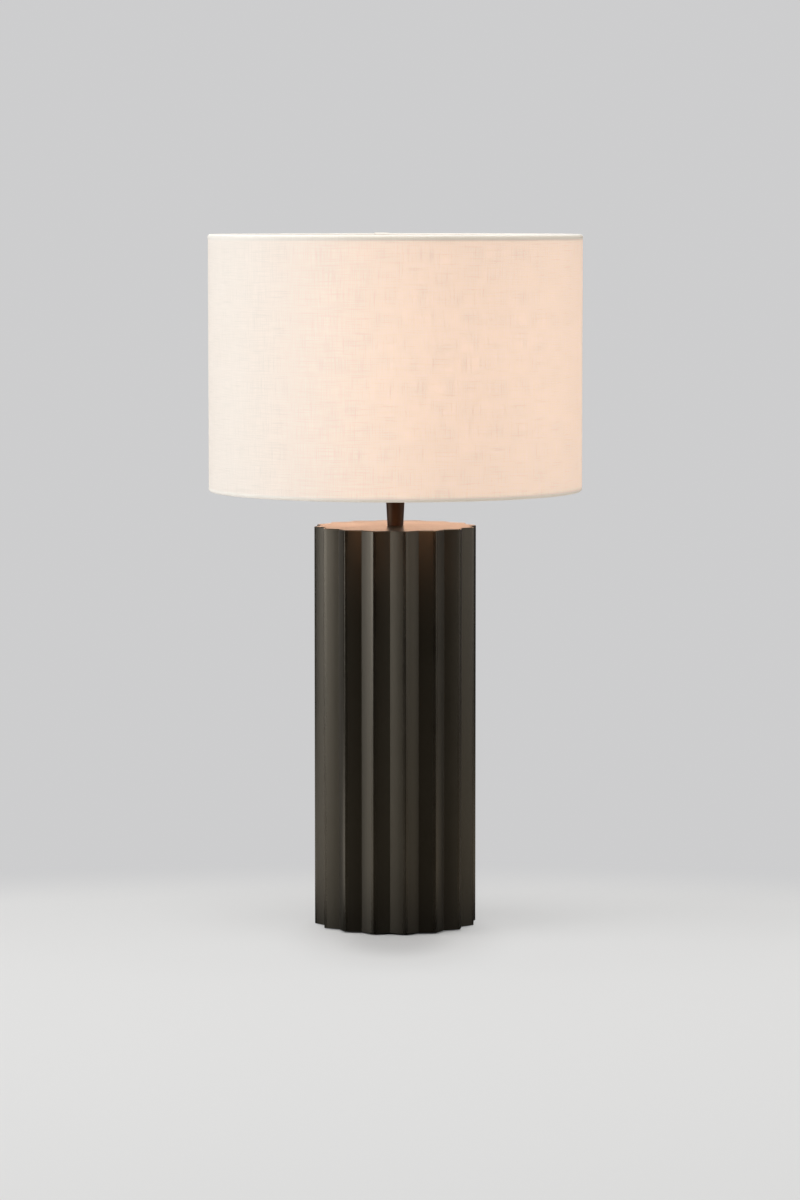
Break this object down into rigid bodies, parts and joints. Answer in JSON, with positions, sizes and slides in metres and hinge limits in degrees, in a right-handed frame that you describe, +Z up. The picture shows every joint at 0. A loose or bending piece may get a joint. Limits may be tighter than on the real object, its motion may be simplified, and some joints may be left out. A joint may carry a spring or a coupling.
{
  "type": "table lamp",
  "caption": "Table lamp: fluted cylindrical column on a weighted foot, tapered neck, screw lampholder with bulb, and a lift-off fabric drum shade on a wire spider.",
  "frame": {"origin": "on the table, under the middle of the lamp", "axes": "+Z up; +Y towards the back, where the cord gland is; +X to the right seen from the front"},
  "size_m": [0.35, 0.3499, 0.65],
  "materials": {
    "black_felt": "pressed felt",
    "black_steel": "black lacquered sheet",
    "zinc_steel": "zinc plated",
    "raw_iron": "as cast",
    "column_paint": "cast resin, satin black",
    "black_nylon": "moulded",
    "neck_bronze": "dark brown-black satin",
    "holder_black": "moulded phenolic",
    "holder_ceramic": "unglazed",
    "contact_brass": "stamped",
    "shade_cloth": "slubbed linen weave",
    "shade_liner": "translucent sheet",
    "white_wire": "white powder coat",
    "solder": "solder button",
    "black_glass": "glass insulator",
    "nickel_cap": "nickel plated",
    "bulb_white": "moulded housing",
    "bulb_opal": "opal, lit warm",
    "bare_aluminium": "board",
    "circuit_board": "laminate"
  },
  "bodies": {
    "base": {"foot_pad": "black_felt", "base_plate": "black_steel", "base_screws": "zinc_steel", "base_weight": "raw_iron", "column": "column_paint", "cord_gland": "black_nylon", "threaded_tube": "zinc_steel", "lower_washer": "zinc_steel", "lower_nut": "zinc_steel", "upper_washer": "zinc_steel", "upper_nut": "zinc_steel", "neck": "neck_bronze", "holder_cap": "holder_black", "holder_grub_screw": "zinc_steel", "holder_barrel": "holder_black", "holder_insert": "holder_ceramic", "screw_shell": "contact_brass", "centre_contact": "contact_brass", "terminal_screws": "contact_brass"},
    "shade": {"shade_fabric": "shade_cloth", "shade_liner": "shade_liner", "lower_edge_wire": "white_wire", "upper_edge_wire": "white_wire", "spider_arms": "white_wire", "fitter_ring": "white_wire"},
    "ring_nut": {"shade_ring": "holder_black"},
    "bulb_foot": {"bulb_tip": "solder", "bulb_insulator": "black_glass"},
    "bulb": {"bulb_cap": "nickel_cap", "bulb_collar": "bulb_white", "bulb_globe": "bulb_opal", "light_board": "bare_aluminium", "driver_board": "circuit_board"}
  },
  "joints": [
    {"name": "shade_lift", "type": "slide", "parent": "base", "child": "shade", "axis": [0, 0, 1], "range_m": [0, 0.18]},
    {"name": "ring_turn", "type": "hinge", "parent": "shade", "child": "ring_nut", "pos_m": [0, 0, 0.45], "axis": [0, 0, 1], "range_deg": [0, 1080]},
    {"name": "bulb_rise", "type": "slide", "parent": "base", "child": "bulb_foot", "axis": [0, 0, 1], "range_m": [0, 0.012]},
    {"name": "bulb_turn", "type": "hinge", "parent": "bulb_foot", "child": "bulb", "pos_m": [0, 0, 0.47], "axis": [0, 0, 1], "range_deg": [0, 1170]}
  ],
  "couplings": [
    {"joint": "bulb_rise", "follows": "bulb_turn", "m_per_rad": 0.00057757}
  ]
}
